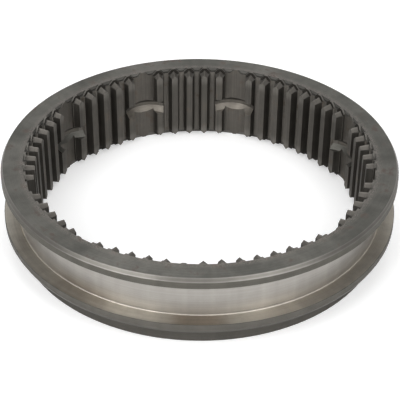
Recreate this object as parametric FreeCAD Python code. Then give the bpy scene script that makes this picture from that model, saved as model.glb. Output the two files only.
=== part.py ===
import FreeCAD, Part
import math
import os

# Synchronizer sleeve of a truck gearbox, in millimetres.
# The origin is the centre of the lower face, +Z is the axis of the ring, and one key slot stands on +Y.

# Turned outline
sleeve_height = 35.0
flange_radius = 83.0
upper_face_radius = 82.0
upper_chamfer_height = 1.7
upper_flange_height = 4.95
groove_mouth_chamfer = 0.5
fork_groove_width = 17.2
fork_groove_radius = 76.7
corner_relief_width = 0.7
corner_relief_depth = 0.35
lower_flange_height = 4.35
lower_chamfer_height = 1.55
lower_chamfer_width = 0.8
boss_radius = 77.7
boss_edge_chamfer = 0.5

# Internal spline
tooth_count = 63
pitch_radius = 70.875
flank_angle = 15.0
tip_radius = 69.0
low_tip_radius = 69.7
root_radius = 73.0
root_corner_break = 0.3

# Key slots, where a tooth is missing
slot_groups = 3
slots_in_group = 3
slot_step = 6
slot_floor_radius = 73.3
slot_direction = 90.0

# Pointed tooth ends
point_angle = 45.0
point_slope = 6.0
point_depth = 3.0
point_floor_width = 4.2
point_reach = 72.9
ledge_depth = 1.75
ledge_floor_width = 2.2
ledge_reach = 73.8

# Detent grooves
detent_height = 17.1
detent_disc_radius = 12.6
detent_disc_thickness = 6.2
detent_rim_width = 1.7
detent_bevel_depth = 2.0
detent_reach = 75.4

# How far cutters reach past the ring, and neighbouring cuts into each other
clear = 2.0
overlap = 0.2

pitch_angle = 360.0 / tooth_count
axis = FreeCAD.Vector(0, 0, 1)
origin = FreeCAD.Vector(0, 0, 0)


def polar(radius, degrees, height=0.0):
    """Point at a radius and an angle about the ring axis."""
    a = math.radians(degrees)
    return FreeCAD.Vector(radius * math.cos(a), radius * math.sin(a), height)


def turned(points):
    """Solid of revolution of a closed outline given as radius and height pairs."""
    corners = [FreeCAD.Vector(r, 0, z) for r, z in points]
    wire = Part.makePolygon(corners + [corners[0]])
    return Part.Face(wire).revolve(origin, axis, 360)


def turned_copy(shape, degrees):
    """Copy of a shape turned about the ring axis."""
    copy = shape.copy()
    copy.rotate(origin, axis, degrees)
    return copy


def involute(pressure):
    """Involute function of a pressure angle in radians."""
    return math.tan(pressure) - pressure


def space_half_angle(radius):
    """Half of the angle, in degrees, that a tooth space spans at a radius."""
    alpha = math.radians(flank_angle)
    pressure = math.acos(pitch_radius * math.cos(alpha) / radius)
    return pitch_angle / 4 + math.degrees(involute(alpha) - involute(pressure))


def tooth_side(side):
    """Corners along one side of a tooth space: three on the flank and one past the broken root corner."""
    flank_end = root_radius - root_corner_break
    land_angle = space_half_angle(root_radius) - math.degrees(root_corner_break / root_radius)
    on_flank = [tip_radius, pitch_radius, flank_end]
    corners = [polar(r, side * space_half_angle(r)) for r in on_flank]
    return corners + [polar(root_radius, side * land_angle)]


def tooth_space():
    """Cutter for one space between two teeth, centred on the +X side."""
    inner = tip_radius - clear
    mouth_angle = space_half_angle(tip_radius) + math.degrees(clear / inner) / 2
    left = [polar(inner, mouth_angle)] + tooth_side(1)
    right = [polar(inner, -mouth_angle)] + tooth_side(-1)
    corners = left + right[::-1]
    face = Part.Face(Part.makePolygon(corners + [corners[0]]))
    cutter = face.extrude(FreeCAD.Vector(0, 0, sleeve_height + 2 * clear))
    cutter.translate(FreeCAD.Vector(0, 0, -clear))
    return cutter


def flat_floored(radius, half_angle, flats):
    """Cutter from the bore out to flats that are each square to their own radius, centred on the +X side."""
    step = 2 * half_angle / flats
    corner_radius = radius / math.cos(math.radians(step / 2))
    corners = [polar(corner_radius, -half_angle + i * step, -clear) for i in range(flats + 1)]
    corners.append(polar(tip_radius - clear, half_angle, -clear))
    corners.append(polar(tip_radius - clear, -half_angle, -clear))
    face = Part.Face(Part.makePolygon(corners + [corners[0]]))
    return face.extrude(FreeCAD.Vector(0, 0, sleeve_height + 2 * clear))


def many_sided(radius, centres):
    """Prism through the whole height with one flat side, at the radius, facing each of the given angles."""
    corner_radius = radius / math.cos(math.radians(pitch_angle / 2))
    corners = [polar(corner_radius, a + pitch_angle / 2, -2 * clear) for a in centres]
    face = Part.Face(Part.makePolygon(corners + [corners[0]]))
    return face.extrude(FreeCAD.Vector(0, 0, sleeve_height + 4 * clear))


def pointing_tool(depth, floor_width, slope, reach):
    """Cutter with sloping sides, its flat floor rising outwards from a depth at the tooth tips."""
    start = tip_radius - clear
    rise = math.tan(math.radians(slope))
    floor = sleeve_height - depth - clear * rise
    half_width = reach * math.tan(math.radians(pitch_angle / 2)) + overlap
    side_top = floor + (half_width - floor_width / 2) * math.tan(math.radians(point_angle))
    top = max(side_top, sleeve_height) + clear
    corners = [
        FreeCAD.Vector(start, -floor_width / 2, floor),
        FreeCAD.Vector(start, floor_width / 2, floor),
        FreeCAD.Vector(start, half_width, side_top),
        FreeCAD.Vector(start, half_width, top),
        FreeCAD.Vector(start, -half_width, top),
        FreeCAD.Vector(start, -half_width, side_top),
    ]
    face = Part.Face(Part.makePolygon(corners + [corners[0]]))
    length = reach + clear - start
    bar = face.extrude(FreeCAD.Vector(length, 0, length * rise))
    return bar.common(many_sided(reach, [i * pitch_angle for i in range(tooth_count)]))


# Outline of the ring, from the bore at the tooth tips round to the upper face
groove_top = sleeve_height - upper_flange_height
groove_bottom = groove_top - fork_groove_width
lower_flange_bottom = groove_bottom - lower_flange_height
relief_radius = fork_groove_radius + corner_relief_width
relief_middle = fork_groove_radius + corner_relief_width / 2
outline = [
    (tip_radius - clear, 0),
    (boss_radius - boss_edge_chamfer, 0),
    (boss_radius, boss_edge_chamfer),
    (boss_radius, lower_flange_bottom),
    (flange_radius - lower_chamfer_width, lower_flange_bottom),
    (flange_radius, lower_flange_bottom + lower_chamfer_height),
    (flange_radius, groove_bottom),
    (relief_radius, groove_bottom),
    (relief_middle, groove_bottom - corner_relief_depth),
    (fork_groove_radius, groove_bottom),
    (fork_groove_radius, groove_top),
    (relief_middle, groove_top + corner_relief_depth),
    (relief_radius, groove_top),
    (flange_radius - groove_mouth_chamfer, groove_top),
    (flange_radius, groove_top + groove_mouth_chamfer),
    (flange_radius, sleeve_height - upper_chamfer_height),
    (upper_face_radius, sleeve_height),
    (tip_radius - clear, sleeve_height),
]
tooth_angles = [slot_direction + i * pitch_angle for i in range(tooth_count)]
gap_angles = [a + pitch_angle / 2 for a in tooth_angles]
sleeve = turned(outline).cut(many_sided(tip_radius, tooth_angles))

# Missing teeth, counted round the ring from the middle slot of the first group
slot_teeth = []
for group in range(slot_groups):
    middle = group * tooth_count // slot_groups
    for place in range(slots_in_group):
        slot_teeth.append(middle + (place - (slots_in_group - 1) // 2) * slot_step)

# Spaces between the teeth, key slots, and lower teeth beside the slots
space = tooth_space()
slot_angles = [slot_direction + k * pitch_angle for k in slot_teeth]
floor_half_angle = pitch_angle / 2 + space_half_angle(root_radius)
slot = flat_floored(slot_floor_radius, floor_half_angle, 1)
low_teeth = flat_floored(low_tip_radius, 1.5 * pitch_angle, 3)
cutters = [turned_copy(space, a) for a in gap_angles]
cutters += [turned_copy(slot, a) for a in slot_angles]
cutters += [turned_copy(low_teeth, a) for a in slot_angles]
sleeve = sleeve.cut(cutters)

# Pointed tooth ends: the sloping sides of neighbouring cuts meet in a ridge over the middle of each tooth,
# and a shallower step of each cut runs on past the root, where it leaves a ledge
mid_height = FreeCAD.Vector(0, 0, sleeve_height / 2)
upper_point = pointing_tool(point_depth, point_floor_width, point_slope, point_reach)
upper_ledge = pointing_tool(ledge_depth, ledge_floor_width, 0, ledge_reach)
lower_point = upper_point.mirror(mid_height, axis)
lower_ledge = upper_ledge.mirror(mid_height, axis)
for cutter in (upper_point, lower_point, upper_ledge, lower_ledge):
    sleeve = sleeve.cut([turned_copy(cutter, a) for a in gap_angles[0::2]])
    sleeve = sleeve.cut([turned_copy(cutter, a) for a in gap_angles[1::2]])

# Detent grooves: a disc with a bevelled rim sinks outwards into each slot
disc_outline = [
    (0, -detent_disc_thickness / 2),
    (detent_disc_radius - detent_bevel_depth, -detent_disc_thickness / 2),
    (detent_disc_radius, -detent_rim_width / 2),
    (detent_disc_radius, detent_rim_width / 2),
    (detent_disc_radius - detent_bevel_depth, detent_disc_thickness / 2),
    (0, detent_disc_thickness / 2),
]
disc = turned_copy(turned(disc_outline), 180)
disc.translate(FreeCAD.Vector(detent_reach - detent_disc_radius, 0, detent_height))
sleeve = sleeve.cut([turned_copy(disc, a) for a in slot_angles])

sleeve = sleeve.Solids[0].removeSplitter()

os.makedirs("parts", exist_ok=True)
sleeve.exportStep("parts/sleeve.step")
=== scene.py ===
import math
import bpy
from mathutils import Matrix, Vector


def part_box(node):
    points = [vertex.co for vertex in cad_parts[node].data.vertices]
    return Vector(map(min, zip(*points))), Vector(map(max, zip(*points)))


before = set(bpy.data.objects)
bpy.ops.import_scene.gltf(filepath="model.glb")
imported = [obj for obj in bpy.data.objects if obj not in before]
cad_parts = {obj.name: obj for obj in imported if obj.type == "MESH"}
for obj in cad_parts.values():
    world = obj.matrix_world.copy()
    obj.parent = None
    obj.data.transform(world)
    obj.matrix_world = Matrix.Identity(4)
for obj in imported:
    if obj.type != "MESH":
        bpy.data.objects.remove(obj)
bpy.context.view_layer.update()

from types import SimpleNamespace

import bpy
from mathutils import Matrix, Vector

low_corner, high_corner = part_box("sleeve")

# Sizes of the sleeve in metres: height and radius from the frame, and its forms measured in from there
RING_HEIGHT = high_corner[2] - low_corner[2]
FLANGE_RADIUS = high_corner[0]
CHAMFER_WIDTH = 0.001
CHAMFER_HEIGHT = 0.0017
UPPER_FLANGE_HEIGHT = 0.00495
GROOVE_WIDTH = 0.0172
GROOVE_DEPTH = 0.0063
LOWER_FLANGE_HEIGHT = 0.00435
TOOTH_COUNT = 63
SLOT_DIRECTION = math.radians(90)
WALL_THICKNESS = 0.014
TOOTH_DEPTH = 0.004
POINT_DEPTH = 0.003
LEDGE_DEPTH = 0.00175
LEDGE_HALF_FLOOR = 0.0011
DETENT_HEIGHT = 0.0171
DETENT_HALF_BAND = 0.0036

FACE_EDGE_RADIUS = FLANGE_RADIUS - CHAMFER_WIDTH
GROOVE_TOP = RING_HEIGHT - UPPER_FLANGE_HEIGHT
GROOVE_BOTTOM = GROOVE_TOP - GROOVE_WIDTH
GROOVE_FLOOR_RADIUS = FLANGE_RADIUS - GROOVE_DEPTH
LOWER_FLANGE_BOTTOM = GROOVE_BOTTOM - LOWER_FLANGE_HEIGHT
TIP_RADIUS = FLANGE_RADIUS - WALL_THICKNESS
ROOT_RADIUS = TIP_RADIUS + TOOTH_DEPTH
SLOT_RADIUS = ROOT_RADIUS + 0.0003
POINT_REACH = ROOT_RADIUS - 0.0001
LEDGE_REACH = ROOT_RADIUS + 0.0008
TOOTH_PITCH = math.radians(360 / TOOTH_COUNT)
HALF_PITCH_AT_TIPS = TIP_RADIUS * TOOTH_PITCH / 2
FIRST_SPACE = SLOT_DIRECTION + TOOTH_PITCH / 2

# Bounds of the finishes. In each pair the mask is 0 at the first value and 1 at the second, except that a
# pair for a band holds its two ends. A hair is the width over which most finishes meet
HAIR = 0.0001
INNER_WALL_RADIUS = SLOT_RADIUS + 2 * HAIR
LEVEL_FACING = (0.9, 0.97)
UPRIGHT_FACING = (0.3, 0.2)
TILTED_BAND = (0.3, 0.93)
TILTED_BLUR = 0.05
FLANK_FACING = (0.6, 0.35)
TEETH_RADII = (ROOT_RADIUS + 0.0035, ROOT_RADIUS + 0.0025)
BELOW_FACE = (RING_HEIGHT - HAIR, RING_HEIGHT - 3 * HAIR)
OUTSIDE_RADII = (GROOVE_FLOOR_RADIUS, GROOVE_FLOOR_RADIUS + HAIR)
GROOVE_RADIUS_BAND = (GROOVE_FLOOR_RADIUS - 12 * HAIR, GROOVE_FLOOR_RADIUS + 2 * HAIR)
GROOVE_FOOT = (GROOVE_BOTTOM + 0.007, GROOVE_BOTTOM + 0.001)
SHOULDER_HEIGHT_BAND = (GROOVE_BOTTOM - 6 * HAIR, GROOVE_BOTTOM + HAIR)
SHOULDER_RADII = (FLANGE_RADIUS - HAIR, FLANGE_RADIUS - 3 * HAIR)
RELIEF_HEIGHT_BAND = (GROOVE_BOTTOM - 4 * HAIR, GROOVE_BOTTOM - HAIR / 2)
RELIEF_RADIUS_BAND = (GROOVE_FLOOR_RADIUS, GROOVE_FLOOR_RADIUS + 8 * HAIR)
LOWER_RIM_HEIGHTS = (GROOVE_BOTTOM - HAIR, GROOVE_BOTTOM - 2 * HAIR)
BOSS_RADII = (INNER_WALL_RADIUS, INNER_WALL_RADIUS + 20 * HAIR)
LEDGE_WALL_BAND = (LEDGE_REACH - 3 * HAIR, LEDGE_REACH + 3 * HAIR)
LEDGE_WALL_DEPTHS = (LEDGE_DEPTH + 3 * HAIR, LEDGE_DEPTH + HAIR)
POINT_WALL_BAND = (POINT_REACH - 2 * HAIR, POINT_REACH + 2.5 * HAIR)
POINT_WALL_DEPTHS = (POINT_DEPTH, POINT_DEPTH - 3 * HAIR)
POINT_WALL_ASIDE = (LEDGE_HALF_FLOOR + HAIR / 2, LEDGE_HALF_FLOOR + 1.5 * HAIR)

# Bounds of wear, stains, painted shade and painted highlights inside a finish, in the same kind of pairs
FACE_WORN_RADII = (ROOT_RADIUS + 0.0038, ROOT_RADIUS + 0.0015)
FACE_WORN_SPECKS = (0.2, 0.8)
CHAMFER_WEAR = 4 * HAIR
CHAMFER_MIDDLE_BAND = (RING_HEIGHT - CHAMFER_HEIGHT + CHAMFER_WEAR, RING_HEIGHT - CHAMFER_WEAR)
CHAMFER_MIDDLE_BLUR = 1.5 * HAIR
ROOT_RADII = (ROOT_RADIUS - 0.0018, ROOT_RADIUS - 0.0006)
SLOT_FLOOR_RADII = (SLOT_RADIUS - 2 * HAIR, SLOT_RADIUS - HAIR)
WORN_TIP_DEPTHS = (POINT_DEPTH + 0.0045, POINT_DEPTH + 0.0005)
WORN_TIP_RADII = (TIP_RADIUS + 0.0022, TIP_RADIUS + 0.0010)
# Where the painted highlight along the ridge over each tooth begins
RIDGE_HIGHLIGHT_ASIDE = (HALF_PITCH_AT_TIPS - 0.00044, HALF_PITCH_AT_TIPS - 0.00009)
POINT_SIDE_RADII = (POINT_REACH - HAIR, POINT_REACH)
# How far up the ledge walls the painted shade in their crease reaches
CREASE_SHADE_RISE = (4 * HAIR, 2 * HAIR)
DETENT_FLOOR_FACING = (0.2, 0.4)
DETENT_ROOF_FACING = (-0.1, -0.3)
# Turns of the two slots whose detent floors are painted beige with light; the other floors get painted
# shade
LIT_DETENT_BAND = (math.radians(40), math.radians(105))
LIT_DETENT_BLUR = 0.02
STAIN_TURN = math.radians(-111.5)
STAIN_HALF_WIDTH = 0.13
STAIN_BLUR = 0.07
FAINT_STAIN_TURN = math.radians(-148)
FAINT_STAIN_HALF_WIDTH = 0.17
FAINT_STAIN_BLUR = 0.12
FAINT_STAIN_STRENGTH = 0.55

# Tones of the turned outside
FACE_GREY = (0.081, 0.080, 0.071, 1)
FACE_PALE = (0.136, 0.132, 0.119, 1)
FACE_EDGE_PALE = (0.172, 0.155, 0.141, 1)
FACE_BROWN = (0.090, 0.073, 0.063, 1)
CHAMFER_GREY = (0.154, 0.146, 0.132, 1)
CHAMFER_WORN = (0.196, 0.187, 0.172, 1)
RIM_GREY = (0.096, 0.091, 0.078, 1)
LOWER_RIM_GREY = (0.105, 0.099, 0.087, 1)
GROOVE_BRIGHT = (0.352, 0.336, 0.312, 1)
GROOVE_WARM = (0.455, 0.425, 0.386, 1)
# Painted highlight: a pale line along the relief at the foot of the groove, where its edge catches the
# light
RELIEF_PAINTED_HIGHLIGHT = (0.520, 0.485, 0.425, 1)
SHOULDER_GREY = (0.450, 0.426, 0.377, 1)
SHOULDER_BROWN = (0.394, 0.362, 0.313, 1)
STAIN_BROWN = (0.275, 0.236, 0.192, 1)
BOSS_GREY = (0.080, 0.075, 0.066, 1)

# Tones of the teeth, slots and detents
TIP_GREY = (0.078, 0.072, 0.063, 1)
ROOT_GREY = (0.128, 0.118, 0.104, 1)
SLOT_GREY = (0.093, 0.085, 0.074, 1)
# Painted shade on the tooth flanks, which face across the narrow gaps between teeth, and on the roofs of
# the detents that face down
PAINTED_SHADE_DARK = (0.046, 0.042, 0.036, 1)
TOOTH_BROWN = (0.084, 0.070, 0.057, 1)
TOOTH_WORN = (0.128, 0.120, 0.107, 1)
POINT_PALE = (0.113, 0.104, 0.093, 1)
POINT_SIDE_PALE = (0.132, 0.125, 0.113, 1)
# Painted highlight along the ridge of each pointed tooth end
RIDGE_PAINTED_HIGHLIGHT = (0.150, 0.140, 0.125, 1)
LEDGE_GREY = (0.085, 0.081, 0.073, 1)
LEDGE_WALL_PALE = (0.125, 0.120, 0.110, 1)
# Painted shade: dark in the crease at the foot of each ledge wall and on the small step walls beside the
# pointed tooth ends
CORNER_PAINTED_SHADE = (0.030, 0.027, 0.023, 1)
# Detent floors: painted light in two slots, and a darker grey as painted shade in the others
DETENT_PAINTED_LIGHT = (0.230, 0.210, 0.182, 1)
DETENT_SHADED_GREY = (0.140, 0.136, 0.122, 1)
DETENT_RIM = (0.125, 0.114, 0.099, 1)

# Tool marks and stains: how fine they are, and how strongly they change the tone
TURNING_LINES_PER_METRE = 3000.0
TURNING_DRIFT = 0.35
BROACH_STREAKS_AROUND = 160.0
BROACH_STREAKS_ACROSS = 2400.0
BROACH_STREAKS_UP = 30.0
MARK_DETAIL = 3.0
MARK_HARSHNESS = 0.6
BROAD_STAIN_SCALE = 38.0
SMALL_STAIN_SCALE = 170.0
SPECKS_FINER = 14.0
CLOUD_RANGE = (0.32, 0.68)
SPOT_RANGE = (0.54, 0.70)
SPECK_RANGE = (0.3, 0.75)
TURNED_CONTRAST = 0.5
BROACHED_EXTRA_CONTRAST = 0.5
CLOUD_CONTRAST = 0.16
GROUND_CLOUD_CHANGE = -0.11
BANDS_AROUND = 14.0
BAND_CONTRAST = 0.36

# Roughness and metal of the steel, and how the finishes change them
PLAIN_ROUGHNESS = 0.55
SMOOTH_CHANGE = -0.23
DULL_CHANGE = 0.09
SPECK_CHANGE = 0.08
PLAIN_METALLIC = 0.55
SHINY_CHANGE = 0.3
# Less metal on the relief, so that its painted highlight shows as a matte pale line
RELIEF_CHANGE = -0.4
EDGE_ON_TINT = (0.6, 0.6, 0.6, 1)
HIGHLIGHT_STRETCH = 0.5
HIGHLIGHT_TURN = 0.25
MARK_BUMP_STRENGTH = 0.18
MARK_BUMP_DEPTH = 0.0002


# Small helpers for node trees

def add(tree, kind, **settings):
    """New node in a tree, with its plain settings."""
    node = tree.nodes.new(kind)
    for name, value in settings.items():
        setattr(node, name, value)
    return node


def feed(tree, socket, source):
    """Feeds a socket from another socket or from a constant."""
    if isinstance(source, bpy.types.NodeSocket):
        tree.links.new(source, socket)
    else:
        socket.default_value = source


def maths(tree, operation, *sources, clamp=False):
    """Result of one Math node."""
    node = add(tree, "ShaderNodeMath", operation=operation, use_clamp=clamp)
    for socket, source in zip(node.inputs, sources):
        feed(tree, socket, source)
    return node.outputs[0]


def product(tree, first, *others):
    """Product of several masks or values."""
    result = first
    for other in others:
        result = maths(tree, "MULTIPLY", result, other)
    return result


def changed(tree, value, mask, change):
    """Value plus a change, as far as the mask lets the change through."""
    return maths(tree, "MULTIPLY_ADD", mask, change, value)


def swing(tree, value, contrast):
    """Factor about 1 that follows a value between 0 and 1, as strongly as the contrast says."""
    return maths(tree, "MULTIPLY_ADD", maths(tree, "SUBTRACT", value, 0.5), contrast, 1.0)


def ramp_mask(tree, value, start, end):
    """Mask that goes smoothly from 0 at one value to 1 at another."""
    node = add(tree, "ShaderNodeMapRange", interpolation_type="SMOOTHSTEP")
    feed(tree, node.inputs["Value"], value)
    feed(tree, node.inputs["From Min"], start)
    feed(tree, node.inputs["From Max"], end)
    return node.outputs["Result"]


def band_mask(tree, value, start, end, blur=HAIR):
    """Mask that is 1 between two values and fades out over the blur."""
    rise = ramp_mask(tree, value, start - blur, start + blur)
    fall = ramp_mask(tree, value, end + blur, end - blur)
    return product(tree, rise, fall)


def mixed(tree, factor, first, second):
    """Mix of two colours by a factor."""
    node = add(tree, "ShaderNodeMix", data_type="RGBA")
    feed(tree, node.inputs["Factor"], factor)
    feed(tree, node.inputs["A"], first)
    feed(tree, node.inputs["B"], second)
    return node.outputs["Result"]


def noise(tree, vector, scale, detail=2.0, harshness=0.5):
    """Value of a noise texture, from 0 to 1."""
    node = add(tree, "ShaderNodeTexNoise", noise_dimensions="3D")
    feed(tree, node.inputs["Vector"], vector)
    feed(tree, node.inputs["Scale"], scale)
    feed(tree, node.inputs["Detail"], detail)
    feed(tree, node.inputs["Roughness"], harshness)
    return node.outputs["Fac"]


def combined(tree, x, y, z):
    """Vector of three values."""
    node = add(tree, "ShaderNodeCombineXYZ")
    for socket, source in zip(node.inputs, (x, y, z)):
        feed(tree, socket, source)
    return node.outputs[0]


def separated(tree, vector):
    """The three values of a vector."""
    node = add(tree, "ShaderNodeSeparateXYZ")
    feed(tree, node.inputs[0], vector)
    return node.outputs


def group_tree(name, inputs, outputs):
    """New shader node group with named inputs and outputs. Returns the tree and its two end nodes."""
    tree = bpy.data.node_groups.new(name, "ShaderNodeTree")
    for label, value in inputs.items():
        socket = tree.interface.new_socket(label, in_out="INPUT", socket_type="NodeSocketFloat")
        socket.default_value = value
    for label in outputs:
        tree.interface.new_socket(label, in_out="OUTPUT", socket_type="NodeSocketFloat")
    return tree, add(tree, "NodeGroupInput"), add(tree, "NodeGroupOutput")


# Node groups

def make_round_coordinates():
    """Place about the axis, the way the surface faces, and how far a tooth space and an end face are."""
    tree, _, ends = group_tree(
        "round_coordinates", {},
        ("Radius", "Turn", "Height", "Facing Up", "Facing Out", "From Space", "Depth"),
    )
    place = add(tree, "ShaderNodeTexCoord")
    x, y, z = separated(tree, place.outputs["Object"])
    way_x, way_y, way_z = separated(tree, place.outputs["Normal"])
    radius = maths(tree, "SQRT", maths(tree, "ADD", product(tree, x, x), product(tree, y, y)))
    outwards = maths(tree, "ADD", product(tree, x, way_x), product(tree, y, way_y))
    turn = maths(tree, "ARCTAN2", y, x)
    past_space = maths(tree, "SUBTRACT", turn, FIRST_SPACE)
    nearest = maths(tree, "WRAP", past_space, TOOTH_PITCH / 2, -TOOTH_PITCH / 2)
    from_middle = maths(tree, "ABSOLUTE", maths(tree, "SUBTRACT", z, RING_HEIGHT / 2))
    feed(tree, ends.inputs["Radius"], radius)
    feed(tree, ends.inputs["Turn"], turn)
    feed(tree, ends.inputs["Height"], z)
    feed(tree, ends.inputs["Facing Up"], way_z)
    feed(tree, ends.inputs["Facing Out"], maths(tree, "DIVIDE", outwards, radius))
    feed(tree, ends.inputs["From Space"], product(tree, maths(tree, "ABSOLUTE", nearest), radius))
    feed(tree, ends.inputs["Depth"], maths(tree, "SUBTRACT", RING_HEIGHT / 2, from_middle))
    return tree


def make_turning_marks():
    """Fine rings left by a lathe or grinding wheel, across the radius and the height."""
    tree, start, ends = group_tree("turning_marks", {
        "Radius": 0.08,
        "Turn": 0.0,
        "Height": 0.0,
        "Lines Per Metre": TURNING_LINES_PER_METRE,
    }, ("Marks",))
    lines = start.outputs["Lines Per Metre"]
    across = product(tree, start.outputs["Radius"], lines)
    around = product(tree, start.outputs["Turn"], TURNING_DRIFT)
    up = product(tree, start.outputs["Height"], lines)
    marks = noise(tree, combined(tree, across, around, up), 1.0, MARK_DETAIL, MARK_HARSHNESS)
    feed(tree, ends.inputs["Marks"], marks)
    return tree


def make_broach_marks():
    """Streaks along the height, as a broach or shaping tool leaves them on the teeth."""
    tree, start, ends = group_tree("broach_marks", {
        "Radius": 0.07,
        "Turn": 0.0,
        "Height": 0.0,
    }, ("Marks",))
    around = product(tree, start.outputs["Turn"], BROACH_STREAKS_AROUND)
    across = product(tree, start.outputs["Radius"], BROACH_STREAKS_ACROSS)
    up = product(tree, start.outputs["Height"], BROACH_STREAKS_UP)
    marks = noise(tree, combined(tree, around, across, up), 1.0, MARK_DETAIL, MARK_HARSHNESS)
    feed(tree, ends.inputs["Marks"], marks)
    return tree


def make_stains():
    """Soft clouds, spots and specks, as oil and handling leave them on bare steel."""
    tree, start, ends = group_tree("stains", {"Scale": 60.0}, ("Clouds", "Spots", "Specks"))
    place = add(tree, "ShaderNodeTexCoord").outputs["Object"]
    scale = start.outputs["Scale"]
    clouds = noise(tree, place, scale, detail=4.0, harshness=0.6)
    specks = noise(tree, place, product(tree, scale, SPECKS_FINER))
    feed(tree, ends.inputs["Clouds"], ramp_mask(tree, clouds, *CLOUD_RANGE))
    feed(tree, ends.inputs["Spots"], ramp_mask(tree, clouds, *SPOT_RANGE))
    feed(tree, ends.inputs["Specks"], ramp_mask(tree, specks, *SPECK_RANGE))
    return tree


# Steel of the sleeve: one material whose finish changes from surface to surface

def find_outer_finishes(tree, at, on):
    """Adds the masks of the turned outside: flanges, fork groove and boss."""
    radius = at["Radius"]
    height = at["Height"]
    outside = ramp_mask(tree, radius, *OUTSIDE_RADII)
    on.groove_foot = ramp_mask(tree, height, *GROOVE_FOOT)
    on.groove = product(
        tree,
        band_mask(tree, height, GROOVE_BOTTOM, GROOVE_TOP),
        band_mask(tree, radius, *GROOVE_RADIUS_BAND),
    )
    on.shoulder = product(
        tree,
        outside,
        band_mask(tree, height, *SHOULDER_HEIGHT_BAND),
        ramp_mask(tree, radius, *SHOULDER_RADII),
    )
    on.relief = product(
        tree,
        band_mask(tree, height, *RELIEF_HEIGHT_BAND, HAIR / 2),
        band_mask(tree, radius, *RELIEF_RADIUS_BAND, HAIR / 2),
    )
    on.chamfer = product(
        tree,
        on.tilted,
        ramp_mask(tree, radius, FACE_EDGE_RADIUS - HAIR, FACE_EDGE_RADIUS + HAIR),
    )
    on.lower_rim = product(tree, outside, ramp_mask(tree, height, *LOWER_RIM_HEIGHTS))
    on.boss = product(
        tree,
        ramp_mask(tree, height, LOWER_FLANGE_BOTTOM + HAIR, LOWER_FLANGE_BOTTOM - HAIR),
        ramp_mask(tree, radius, *BOSS_RADII),
    )


def find_inner_finishes(tree, at, on):
    """Adds the masks of the inside: teeth, their pointed ends and ledges, and the detents."""
    radius = at["Radius"]
    height = at["Height"]
    within_teeth = ramp_mask(tree, radius, *TEETH_RADII)
    on.inner_wall = product(
        tree,
        ramp_mask(tree, radius, INNER_WALL_RADIUS + HAIR, INNER_WALL_RADIUS - HAIR),
        on.upright,
    )
    facing_axis = maths(tree, "ABSOLUTE", at["Facing Out"])
    on.flank = product(tree, on.inner_wall, ramp_mask(tree, facing_axis, *FLANK_FACING))
    on.ledge = product(tree, on.level, ramp_mask(tree, height, *BELOW_FACE), within_teeth)
    on.point = product(tree, within_teeth, on.tilted)
    on.ledge_wall = product(
        tree,
        on.upright,
        band_mask(tree, radius, *LEDGE_WALL_BAND),
        ramp_mask(tree, at["Depth"], *LEDGE_WALL_DEPTHS),
    )
    on.point_wall = product(
        tree,
        on.upright,
        band_mask(tree, radius, *POINT_WALL_BAND, HAIR / 2),
        ramp_mask(tree, at["Depth"], *POINT_WALL_DEPTHS),
        ramp_mask(tree, at["From Space"], *POINT_WALL_ASIDE),
    )
    on.detent = product(
        tree,
        band_mask(tree, height, DETENT_HEIGHT - DETENT_HALF_BAND, DETENT_HEIGHT + DETENT_HALF_BAND),
        within_teeth,
        maths(tree, "SUBTRACT", 1.0, on.inner_wall, clamp=True),
    )


def find_finishes(tree, at):
    """Masks that say where each finish of the sleeve lies."""
    on = SimpleNamespace()
    levelness = maths(tree, "ABSOLUTE", at["Facing Up"])
    on.level = ramp_mask(tree, levelness, *LEVEL_FACING)
    on.tilted = band_mask(tree, levelness, *TILTED_BAND, TILTED_BLUR)
    on.upright = ramp_mask(tree, levelness, *UPRIGHT_FACING)
    find_outer_finishes(tree, at, on)
    find_inner_finishes(tree, at, on)
    on.ground = maths(tree, "MAXIMUM", on.groove, on.chamfer)
    on.smooth = maths(tree, "MAXIMUM", on.ground, on.shoulder)
    return on


def face_tone(tree, at, broad, small):
    """Ground faces: grey with pale clouds and brown spots, and worn paler beside the teeth."""
    tone = mixed(tree, broad["Clouds"], FACE_GREY, FACE_PALE)
    tone = mixed(tree, small["Spots"], tone, FACE_BROWN)
    beside_teeth = ramp_mask(tree, at["Radius"], *FACE_WORN_RADII)
    worn = product(tree, beside_teeth, ramp_mask(tree, small["Specks"], *FACE_WORN_SPECKS))
    return mixed(tree, worn, tone, FACE_EDGE_PALE)


def chamfer_tone(tree, at):
    """Ground chamfer, grey in its middle and worn paler along its two edges."""
    middle = band_mask(tree, at["Height"], *CHAMFER_MIDDLE_BAND, CHAMFER_MIDDLE_BLUR)
    return mixed(tree, middle, CHAMFER_WORN, CHAMFER_GREY)


def stain_mask(tree, at, middle, half_width, blur):
    """Stretch round the ring that a stain covers."""
    return band_mask(tree, at["Turn"], middle - half_width, middle + half_width, blur)


def groove_tones(tree, at, on, broad):
    """Tones of the lower shoulder and of the groove floor, warmer at its foot, with stains on both."""
    stain = stain_mask(tree, at, STAIN_TURN, STAIN_HALF_WIDTH, STAIN_BLUR)
    faint_stain = stain_mask(tree, at, FAINT_STAIN_TURN, FAINT_STAIN_HALF_WIDTH, FAINT_STAIN_BLUR)
    faint_stain = product(tree, faint_stain, FAINT_STAIN_STRENGTH)
    shoulder = mixed(tree, broad["Clouds"], SHOULDER_GREY, SHOULDER_BROWN)
    shoulder = mixed(tree, stain, shoulder, STAIN_BROWN)
    shoulder = mixed(tree, faint_stain, shoulder, STAIN_BROWN)
    foot = mixed(tree, faint_stain, GROOVE_WARM, STAIN_BROWN)
    return shoulder, mixed(tree, on.groove_foot, GROOVE_BRIGHT, foot)


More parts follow.
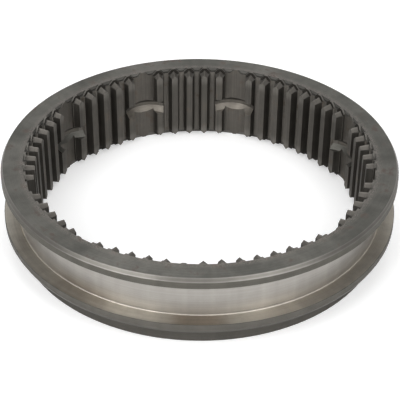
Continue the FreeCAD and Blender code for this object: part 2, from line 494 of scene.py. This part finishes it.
def tooth_tone(tree, at, small):
    """Broached tips, roots and slot floors, with brown spots and the ends of the tips worn paler."""
    radius = at["Radius"]
    tone = mixed(tree, ramp_mask(tree, radius, *ROOT_RADII), TIP_GREY, ROOT_GREY)
    tone = mixed(tree, ramp_mask(tree, radius, *SLOT_FLOOR_RADII), tone, SLOT_GREY)
    tone = mixed(tree, small["Spots"], tone, TOOTH_BROWN)
    near_ends = ramp_mask(tree, at["Depth"], *WORN_TIP_DEPTHS)
    worn = product(tree, near_ends, ramp_mask(tree, radius, *WORN_TIP_RADII))
    return mixed(tree, worn, tone, TOOTH_WORN)


def point_tone(tree, at):
    """Sloping sides of the pointed tooth ends, with a painted highlight along the ridge over each tooth.
    """
    tone = mixed(tree, ramp_mask(tree, at["From Space"], *RIDGE_HIGHLIGHT_ASIDE), POINT_PALE, RIDGE_PAINTED_HIGHLIGHT)
    return mixed(tree, ramp_mask(tree, at["Radius"], *POINT_SIDE_RADII), tone, POINT_SIDE_PALE)


def ledge_wall_tone(tree, at):
    """Walls at the outer ends of the ledges, pale above, with painted shade in the crease along their
    foot.
    """
    past_floor = maths(tree, "SUBTRACT", at["From Space"], LEDGE_HALF_FLOOR)
    foot = maths(tree, "SUBTRACT", LEDGE_DEPTH, maths(tree, "MAXIMUM", past_floor, 0.0))
    above_foot = maths(tree, "SUBTRACT", foot, at["Depth"])
    return mixed(tree, ramp_mask(tree, above_foot, *CREASE_SHADE_RISE), LEDGE_WALL_PALE, CORNER_PAINTED_SHADE)


def detent_tone(tree, at):
    """Detents with painted shade on the roof that faces down, a grey rim, and a floor facing up that is
    painted beige with light in two slots and a darker grey as painted shade in the others.
    """
    lit_slots = band_mask(tree, at["Turn"], *LIT_DETENT_BAND, LIT_DETENT_BLUR)
    floor = mixed(tree, lit_slots, DETENT_SHADED_GREY, DETENT_PAINTED_LIGHT)
    tone = mixed(tree, ramp_mask(tree, at["Facing Up"], *DETENT_FLOOR_FACING), DETENT_RIM, floor)
    return mixed(tree, ramp_mask(tree, at["Facing Up"], *DETENT_ROOF_FACING), tone, PAINTED_SHADE_DARK)


def finish_colours(tree, at, on, broad, small):
    """Colour of the steel, laid on one finish after another over the grey of the rim."""
    shoulder_tone, groove_tone = groove_tones(tree, at, on, broad)
    layers = (
        (on.level, face_tone(tree, at, broad, small)),
        (on.chamfer, chamfer_tone(tree, at)),
        (on.lower_rim, LOWER_RIM_GREY),
        (on.shoulder, shoulder_tone),
        # Pale painted highlight along the relief
        (on.relief, RELIEF_PAINTED_HIGHLIGHT),
        (on.groove, groove_tone),
        (on.boss, BOSS_GREY),
        (on.inner_wall, tooth_tone(tree, at, small)),
        # Flanks that face across the gaps between teeth get painted shade
        (on.flank, PAINTED_SHADE_DARK),
        (on.ledge, LEDGE_GREY),
        (on.point, point_tone(tree, at)),
        # Ledge walls, with painted shade in the crease along their foot
        (on.ledge_wall, ledge_wall_tone(tree, at)),
        # Painted shade on the small step walls beside the pointed tooth ends
        (on.point_wall, CORNER_PAINTED_SHADE),
        # Detents: painted light on their floors and painted shade on their roofs
        (on.detent, detent_tone(tree, at)),
    )
    colour = RIM_GREY
    for mask, tone in layers:
        colour = mixed(tree, mask, colour, tone)
    return colour


def tool_marks(tree, at, on, turning_marks, broach_marks):
    """Broach marks on the teeth and turning marks everywhere else."""
    marks = add(tree, "ShaderNodeMix", data_type="FLOAT")
    feed(tree, marks.inputs["Factor"], on.inner_wall)
    for socket, group in (("A", turning_marks), ("B", broach_marks)):
        tool = add(tree, "ShaderNodeGroup", node_tree=group)
        for name in ("Radius", "Turn", "Height"):
            feed(tree, tool.inputs[name], at[name])
        feed(tree, marks.inputs[socket], tool.outputs["Marks"])
    return marks.outputs["Result"]


def tone_factor(tree, at, on, marks, small):
    """Factor by which tool marks, fine clouds and broad bands round the ring change every tone."""
    mark_contrast = changed(tree, TURNED_CONTRAST, on.inner_wall, BROACHED_EXTRA_CONTRAST)
    cloud_contrast = changed(tree, CLOUD_CONTRAST, on.ground, GROUND_CLOUD_CHANGE)
    around = combined(tree, product(tree, at["Turn"], BANDS_AROUND), 0.0, 0.0)
    return product(
        tree,
        swing(tree, marks, mark_contrast),
        swing(tree, small["Clouds"], cloud_contrast),
        swing(tree, noise(tree, around, 1.0), BAND_CONTRAST),
    )


def make_steel(round_coordinates, turning_marks, broach_marks, stains):
    """Steel with ground, turned, broached and oiled surfaces."""
    steel = bpy.data.materials.new("sleeve_steel")
    steel.use_nodes = True
    tree = steel.node_tree
    tree.nodes.clear()
    output = add(tree, "ShaderNodeOutputMaterial")
    shader = add(tree, "ShaderNodeBsdfPrincipled")
    feed(tree, output.inputs["Surface"], shader.outputs["BSDF"])

    at = add(tree, "ShaderNodeGroup", node_tree=round_coordinates).outputs
    broad = add(tree, "ShaderNodeGroup", node_tree=stains)
    feed(tree, broad.inputs["Scale"], BROAD_STAIN_SCALE)
    small = add(tree, "ShaderNodeGroup", node_tree=stains)
    feed(tree, small.inputs["Scale"], SMALL_STAIN_SCALE)
    on = find_finishes(tree, at)
    marks = tool_marks(tree, at, on, turning_marks, broach_marks)

    toned = add(tree, "ShaderNodeVectorMath", operation="SCALE")
    feed(tree, toned.inputs[0], finish_colours(tree, at, on, broad.outputs, small.outputs))
    feed(tree, toned.inputs["Scale"], tone_factor(tree, at, on, marks, small.outputs))
    feed(tree, shader.inputs["Base Color"], toned.outputs[0])

    dull = maths(tree, "MAXIMUM", on.shoulder, product(tree, on.groove, on.groove_foot))
    rough = changed(tree, PLAIN_ROUGHNESS, on.smooth, SMOOTH_CHANGE)
    rough = changed(tree, rough, dull, DULL_CHANGE)
    rough = changed(tree, rough, small.outputs["Specks"], SPECK_CHANGE)
    feed(tree, shader.inputs["Roughness"], rough)
    shiny = maths(tree, "MAXIMUM", on.smooth, on.detent)
    metallic = changed(tree, PLAIN_METALLIC, shiny, SHINY_CHANGE)
    metallic = changed(tree, metallic, on.relief, RELIEF_CHANGE)
    feed(tree, shader.inputs["Metallic"], metallic)
    feed(tree, shader.inputs["Specular Tint"], EDGE_ON_TINT)
    feed(tree, shader.inputs["Anisotropic"], HIGHLIGHT_STRETCH)
    feed(tree, shader.inputs["Anisotropic Rotation"], HIGHLIGHT_TURN)

    bump = add(tree, "ShaderNodeBump")
    feed(tree, bump.inputs["Strength"], MARK_BUMP_STRENGTH)
    feed(tree, bump.inputs["Distance"], MARK_BUMP_DEPTH)
    feed(tree, bump.inputs["Height"], marks)
    feed(tree, shader.inputs["Normal"], bump.outputs["Normal"])
    return steel


# Floor, surroundings, lamps and camera. The camera stands turned about the ring's axis, the lamps and the
# backdrop turn with it, and its angles are in radians

CAMERA_TURN = math.radians(-21.352)
CAMERA_FRAME = Matrix.Rotation(CAMERA_TURN, 3, "Z")
EYE_ELEVATION = 0.583500
EYE_RADII_AWAY = 6.496592
EYE_DISTANCE = EYE_RADII_AWAY * FACE_EDGE_RADIUS
LOOK_DOWN = 0.619146
LOOK_ASIDE = 0.000526
CAMERA_ROLL = -0.009048
SENSOR_MM = 36
PHOTO_PIXELS = 400
LENS_PIXELS = 1269.821
NEAR_LIMIT = 0.01

FLOOR_SIZE = 3.0
FLOOR_GAP = 0.00005
FLOOR_PAINT = (0.82, 0.82, 0.82, 1)
FLOOR_GLOW = 0.35
WHITE = (1, 1, 1, 1)
STUDIO_STRENGTH = 0.32
BACKDROP_STRENGTH = 0.75
BACKDROP_RANGE = (0.45, 0.95)

STRIP_DISTANCE = 0.87
STRIP_ELEVATION = math.radians(25)
STRIP_HEIGHT = 0.12


def make_floor():
    """Plain pale floor that keeps the shadow of the ring."""
    bpy.ops.mesh.primitive_plane_add(size=FLOOR_SIZE, location=(0, 0, -FLOOR_GAP))
    floor = bpy.context.object
    floor.name = "floor"
    white = bpy.data.materials.new("floor_white")
    white.use_nodes = True
    tree = white.node_tree
    tree.nodes.clear()
    output = add(tree, "ShaderNodeOutputMaterial")
    paint = add(tree, "ShaderNodeBsdfDiffuse")
    feed(tree, paint.inputs["Color"], FLOOR_PAINT)
    glow = add(tree, "ShaderNodeEmission")
    feed(tree, glow.inputs["Color"], WHITE)
    path = add(tree, "ShaderNodeLightPath")
    seen = maths(tree, "MAXIMUM", path.outputs["Is Camera Ray"], path.outputs["Is Glossy Ray"])
    seen = maths(tree, "MAXIMUM", seen, path.outputs["Is Transmission Ray"])
    feed(tree, glow.inputs["Strength"], product(tree, seen, FLOOR_GLOW))
    both = add(tree, "ShaderNodeAddShader")
    feed(tree, both.inputs[0], paint.outputs[0])
    feed(tree, both.inputs[1], glow.outputs[0])
    feed(tree, output.inputs["Surface"], both.outputs[0])
    floor.data.materials.append(white)


def make_world():
    """Soft studio surroundings, with a brighter backdrop behind the ring."""
    world = bpy.data.worlds.new("studio")
    bpy.context.scene.world = world
    world.use_nodes = True
    tree = world.node_tree
    background = tree.nodes["Background"]
    feed(tree, background.inputs["Color"], WHITE)
    place = add(tree, "ShaderNodeTexCoord")
    behind = add(tree, "ShaderNodeVectorMath", operation="DOT_PRODUCT")
    feed(tree, behind.inputs[0], place.outputs["Generated"])
    feed(tree, behind.inputs[1], CAMERA_FRAME @ Vector((0, 1, 0)))
    backdrop = ramp_mask(tree, behind.outputs["Value"], *BACKDROP_RANGE)
    feed(tree, background.inputs["Strength"], changed(tree, STUDIO_STRENGTH, backdrop, BACKDROP_STRENGTH))


def add_softbox(name, place, size, power):
    """Square lamp that looks at the middle of the ring. Returns its light."""
    light = bpy.data.lights.new(name, "AREA")
    light.size = size
    light.energy = power
    lamp = bpy.data.objects.new(name, light)
    bpy.context.collection.objects.link(lamp)
    lamp.location = CAMERA_FRAME @ Vector(place)
    aim = Vector((0, 0, RING_HEIGHT / 2)) - lamp.location
    lamp.rotation_euler = aim.to_track_quat("-Z", "Y").to_euler()
    return light


def add_strip(name, aside, width, power):
    """Low wide lamp at an angle to the left or right of the camera, for the sheen of the chamfers."""
    level_distance = STRIP_DISTANCE * math.cos(STRIP_ELEVATION)
    place = (
        level_distance * math.sin(aside),
        -level_distance * math.cos(aside),
        STRIP_DISTANCE * math.sin(STRIP_ELEVATION),
    )
    strip = add_softbox(name, place, width, power)
    strip.shape = "RECTANGLE"
    strip.size_y = STRIP_HEIGHT


def make_camera():
    """Camera at the photograph's place, lens and roll."""
    back = -math.cos(EYE_ELEVATION) * EYE_DISTANCE
    rise = math.sin(EYE_ELEVATION) * EYE_DISTANCE
    forward = CAMERA_FRAME @ Vector((
        math.sin(LOOK_ASIDE) * math.cos(LOOK_DOWN),
        math.cos(LOOK_ASIDE) * math.cos(LOOK_DOWN),
        -math.sin(LOOK_DOWN),
    ))
    level_right = forward.cross(Vector((0, 0, 1))).normalized()
    level_up = level_right.cross(forward)
    right = math.cos(CAMERA_ROLL) * level_right - math.sin(CAMERA_ROLL) * level_up
    up = math.sin(CAMERA_ROLL) * level_right + math.cos(CAMERA_ROLL) * level_up
    stand = Matrix((right, up, -forward)).transposed().to_4x4()
    stand.translation = CAMERA_FRAME @ Vector((0, back, rise)) + Vector((0, 0, RING_HEIGHT))
    data = bpy.data.cameras.new("camera")
    data.lens = LENS_PIXELS * SENSOR_MM / PHOTO_PIXELS
    data.sensor_width = SENSOR_MM
    data.sensor_fit = "HORIZONTAL"
    data.clip_start = NEAR_LIMIT
    camera = bpy.data.objects.new("camera", data)
    bpy.context.collection.objects.link(camera)
    camera.matrix_world = stand
    bpy.context.scene.camera = camera


steel = make_steel(make_round_coordinates(), make_turning_marks(), make_broach_marks(), make_stains())
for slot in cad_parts["sleeve"].material_slots:
    slot.material = steel

make_floor()
make_world()
add_softbox("key_left", place=(-0.44, -0.46, 0.60), size=0.46, power=2.5)
add_softbox("key_right", place=(0.39, -0.50, 0.60), size=0.42, power=2.2)
add_softbox("overhead", place=(0.0, 0.30, 0.9), size=0.7, power=2.5)
add_strip("strip_left", aside=math.radians(-43), width=0.76, power=2.3)
add_strip("strip_middle", aside=0.0, width=0.3, power=0.5)
add_strip("strip_right", aside=math.radians(39), width=0.74, power=1.6)
make_camera()
bpy.context.scene.view_settings.view_transform = "Standard"
